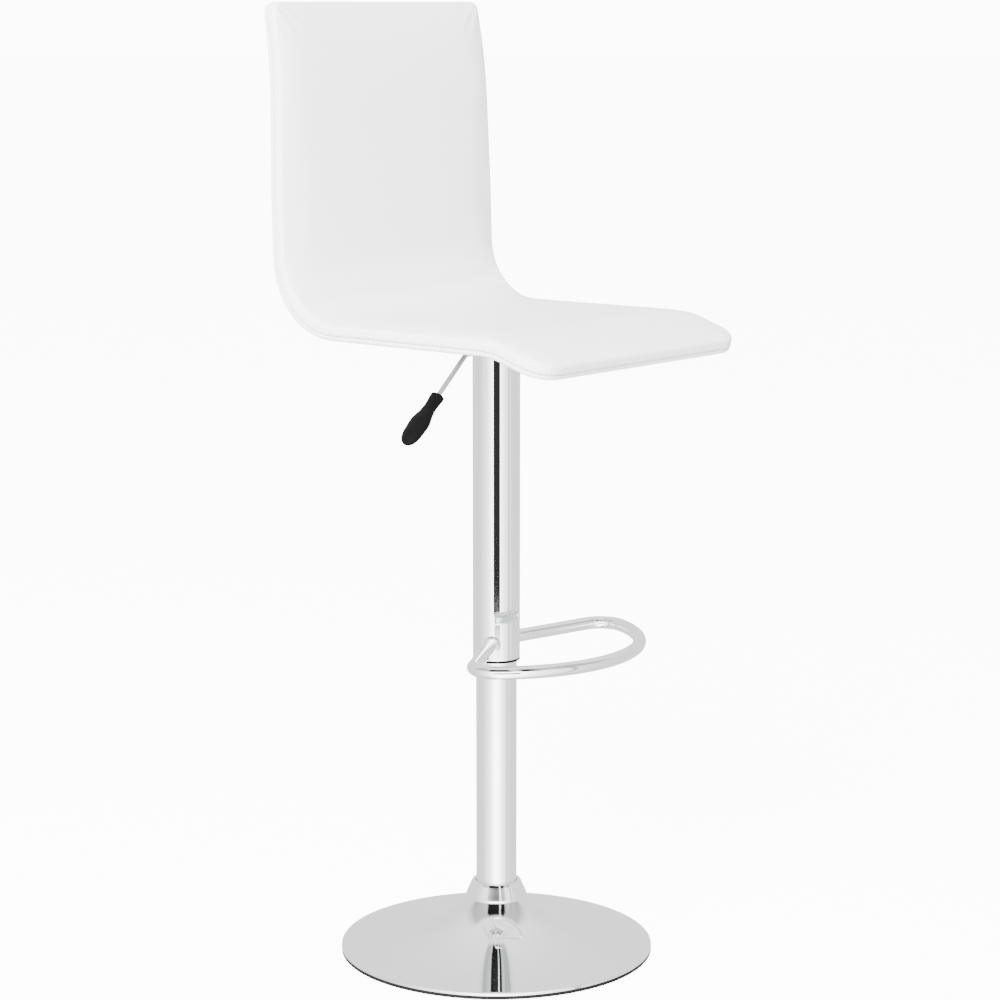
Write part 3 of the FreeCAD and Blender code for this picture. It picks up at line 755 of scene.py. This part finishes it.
def stitch_tree(thread_finish, hole_shade_finish):
    """Tree that lays threads along a curve, with small dark balls of painted shade for the needle hole
    between them.
    """
    tree = bpy.data.node_groups.new("stitch_row", "GeometryNodeTree")
    face = tree.interface
    face.new_socket("Row", in_out="INPUT", socket_type="NodeSocketGeometry")
    for label, value in (("Pitch", PITCH), ("Stitch Length", STITCH_LENGTH),
                         ("Thread Radius", 0.42 * MM), ("Hole Radius", 0.62 * MM)):
        socket = face.new_socket(label, in_out="INPUT", socket_type="NodeSocketFloat")
        socket.default_value = value
    face.new_socket("Stitches", in_out="OUTPUT", socket_type="NodeSocketGeometry")
    new, link = tree.nodes.new, tree.links.new
    entry, leave = new("NodeGroupInput"), new("NodeGroupOutput")

    steps = new("GeometryNodeCurveToPoints")
    steps.mode = "LENGTH"
    link(entry.outputs["Row"], steps.inputs["Curve"])
    link(entry.outputs["Pitch"], steps.inputs["Length"])

    ball = new("GeometryNodeMeshUVSphere")
    ball.inputs["Segments"].default_value = 8
    ball.inputs["Rings"].default_value = 5
    ball.inputs["Radius"].default_value = 1.0

    def laid(length, thickness, finish, shift):
        """The ball stretched to a length along the row, at each step."""
        size = new("ShaderNodeCombineXYZ")
        for axis, socket in zip("XYZ", (thickness, thickness, length)):
            link(socket, size.inputs[axis])
        put = new("GeometryNodeInstanceOnPoints")
        link(steps.outputs["Points"], put.inputs["Points"])
        link(ball.outputs["Mesh"], put.inputs["Instance"])
        link(steps.outputs["Rotation"], put.inputs["Rotation"])
        link(size.outputs["Vector"], put.inputs["Scale"])
        move = new("GeometryNodeTranslateInstances")
        link(put.outputs["Instances"], move.inputs["Instances"])
        way = new("ShaderNodeCombineXYZ")
        link(shift, way.inputs["Z"])
        link(way.outputs["Vector"], move.inputs["Translation"])
        real = new("GeometryNodeRealizeInstances")
        link(move.outputs["Instances"], real.inputs["Geometry"])
        paint = new("GeometryNodeSetMaterial")
        paint.inputs["Material"].default_value = finish
        link(real.outputs["Geometry"], paint.inputs["Geometry"])
        return paint.outputs["Geometry"]

    def share(socket, factor):
        product = new("ShaderNodeMath")
        product.operation = "MULTIPLY"
        link(socket, product.inputs[0])
        product.inputs[1].default_value = factor
        return product.outputs[0]

    join = new("GeometryNodeJoinGeometry")
    threads = laid(share(entry.outputs["Stitch Length"], 0.5), entry.outputs["Thread Radius"],
                   thread_finish, share(entry.outputs["Pitch"], 0.0))
    # Small dark balls of painted shade, for the shadow in the needle hole between threads.
    hole_shade_dots = laid(entry.outputs["Hole Radius"], entry.outputs["Hole Radius"],
                 hole_shade_finish, share(entry.outputs["Pitch"], 0.5))
    link(threads, join.inputs["Geometry"])
    link(hole_shade_dots, join.inputs["Geometry"])
    link(join.outputs["Geometry"], leave.inputs["Stitches"])
    return tree


def bake(piece, tree, values, name):
    """Run a tree on an object and keep the result as a plain mesh."""
    modifier = piece.modifiers.new("row", "NODES")
    modifier.node_group = tree
    for item in tree.interface.items_tree:
        if item.in_out == "INPUT" and item.name in values:
            modifier[item.identifier] = values[item.name]
    result = piece.evaluated_get(bpy.context.evaluated_depsgraph_get())
    mesh = bpy.data.meshes.new_from_object(result)
    mesh.name = name
    bpy.data.objects.remove(piece)
    baked = bpy.data.objects.new(name, mesh)
    bpy.context.scene.collection.objects.link(baked)
    print(name, "has", len(mesh.polygons), "faces and", len(mesh.materials), "finishes")
    return baked


stitches = bake(row_curve("stitch_path", 0.1 * MM, STITCH_DEPTH), stitch_tree(thread, needle_hole_shade),
                {"Pitch": PITCH, "Stitch Length": STITCH_LENGTH}, "edge_stitches")
for polygon in stitches.data.polygons:
    polygon.use_smooth = True
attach(stitches, "lift")

# %% [markdown]
# ## Studio
# Chrome shows its room, so the room is designed first: bright towards the camera and dimmer
# behind. One dark gap stands where the camera is, and gives the black line down the column.
# Overhead is a dark ceiling with one bright slit, which the curved base shows as a dark shape
# with a light core. The floor is pale and glows, so that it reads as a clean sweep of paper.

# %% The room's dark places
# All in degrees. A turn is measured round from the camera, and a rise is up from level.
CAMERA_GAP = (2.0, 16.0)              # middle and half width
GAP_STARTS, GAP_ENDS = (-13.7, -12.3), (4.0, 9.0)
CEILING_STARTS, CEILING_ENDS = (24.0, 30.0), (60.0, 68.0)
CEILING = (0.0, 38.0)
SLIT = (17.0, 4.0)
SIDES = (0.0, 105.0)
SEAM_LINE = (62.0, 2.6)
OVERHEAD = (12.0, 75.0)
BACKDROP = 12.0                       # how bright the camera sees the world behind the stool
print("dark ceiling from", CEILING_STARTS[0], "to", CEILING_ENDS[1], "degrees up")

# %% World
toward_camera = Vector((-math.sin(CAMERA_TURN), -math.cos(CAMERA_TURN), 0.0))
camera_right = Vector((math.cos(CAMERA_TURN), -math.sin(CAMERA_TURN), 0.0))


def room(world):
    tree = world.node_tree
    place = Sock(tree, tree.nodes.new("ShaderNodeTexCoord").outputs["Generated"])

    def along(direction):
        return place.make("ShaderNodeVectorMath", {"operation": "DOT_PRODUCT"},
                          {0: place, 1: tuple(direction)}, 1)

    def gap(angle, place_of_gap, soft=1.2):
        middle, half = place_of_gap
        off = angle - middle
        return 1.0 - off.math("ABSOLUTE", off).ramp(half - soft, half + soft)

    front, right, up = along(toward_camera), along(camera_right), along((0, 0, 1))
    degrees = 180.0 / math.pi
    turn = right.math("ARCTAN2", right, front) * degrees
    rise = up.math("ARCSINE", up) * degrees
    level = 1.0 - up * up
    level = level.math("SQRT", level)
    facing = front.math("DIVIDE", front, level + 0.0001)
    facing = facing.math("MAXIMUM", facing, 0.0)
    walls = 1.7 + facing ** 1.5 * 2.5 + facing ** 10.0 * 5.0
    overhead = rise.ramp(*OVERHEAD)
    light = walls * (1.0 - overhead) + overhead * 2.3
    camera_gap = gap(turn, CAMERA_GAP) * rise.ramp(*GAP_STARTS) * (1.0 - rise.ramp(*GAP_ENDS))
    high = rise.ramp(*CEILING_STARTS) * (1.0 - rise.ramp(*CEILING_ENDS))
    dark_ceiling = gap(turn, CEILING, 5.0) * (1.0 - gap(turn, SLIT)) * high
    dim_sides = gap(turn, SIDES, 18.0) * high * 0.55
    seam_gap = gap(turn, SEAM_LINE) * (1.0 - overhead) * 0.55
    light = light * (1.0 - camera_gap * 0.995) * (1.0 - dark_ceiling * 0.985)
    return light * (1.0 - dim_sides) * (1.0 - seam_gap)


def add_world():
    world = bpy.data.worlds.new("studio")
    bpy.context.scene.world = world
    world.use_nodes = True
    background = world.node_tree.nodes["Background"]
    seen = world.node_tree.nodes.new("ShaderNodeLightPath").outputs["Is Camera Ray"]
    seen = Sock(world.node_tree, seen)
    strength = room(world) * (1.0 - seen) + seen * BACKDROP
    background.inputs["Color"].default_value = (1.0, 1.0, 1.0, 1.0)
    feed(world.node_tree, background.inputs["Strength"], strength)
    return world


world = add_world()
print("world is", world.name)


# %% Floor
FLOOR_GLOW = 9.5
FLOOR_RADIUS = 60.0
FLOOR_DROP = 0.0002                   # keeps the floor clear of the rubber's underside


def floor_recipe(place):
    paper = place.noise(2.0, 2.0)
    return {
        "Base Color": paper.mix((0.90, 0.90, 0.90), (0.93, 0.93, 0.93)),
        "Roughness": 0.7 + paper * 0.1,
    }


def add_floor():
    mesh = bpy.data.meshes.new("floor")
    work = bmesh.new()
    bmesh.ops.create_circle(work, cap_ends=True, radius=FLOOR_RADIUS, segments=96)
    work.to_mesh(mesh)
    work.free()
    floor = bpy.data.objects.new("floor", mesh)
    bpy.context.scene.collection.objects.link(floor)
    floor.location.z = cad_low.z - FLOOR_DROP
    mesh.materials.append(finish("studio_floor", floor_recipe, Emission_Color=(1.0, 1.0, 1.0, 1.0),
                                 Emission_Strength=FLOOR_GLOW))
    floor.visible_glossy = False
    floor.visible_diffuse = False


add_floor()


# %% Soft light on the seat
def add_soft_light(name, toward, distance, size, power):
    """A big square lamp that the seat sees and the chrome doesn't."""
    data = bpy.data.lights.new(name, "AREA")
    data.size = size
    data.energy = power
    lamp = bpy.data.objects.new(name, data)
    bpy.context.scene.collection.objects.link(lamp)
    toward = Vector(toward).normalized()
    lamp.location = Vector((0.0, 0.0, SEAT_TOP)) + toward * distance
    lamp.rotation_euler = toward.to_track_quat("Z", "Y").to_euler()
    lamp.visible_glossy = False
    lamp.visible_camera = False
    return lamp


KEY_DISTANCE, KEY_SIZE, KEY_POWER = 5.0, 3.0, 1500.0
key_side = -camera_right * 0.3 + toward_camera * 0.8 + Vector((0.0, 0.0, 0.6))
add_soft_light("key_light", key_side, KEY_DISTANCE, KEY_SIZE, KEY_POWER)
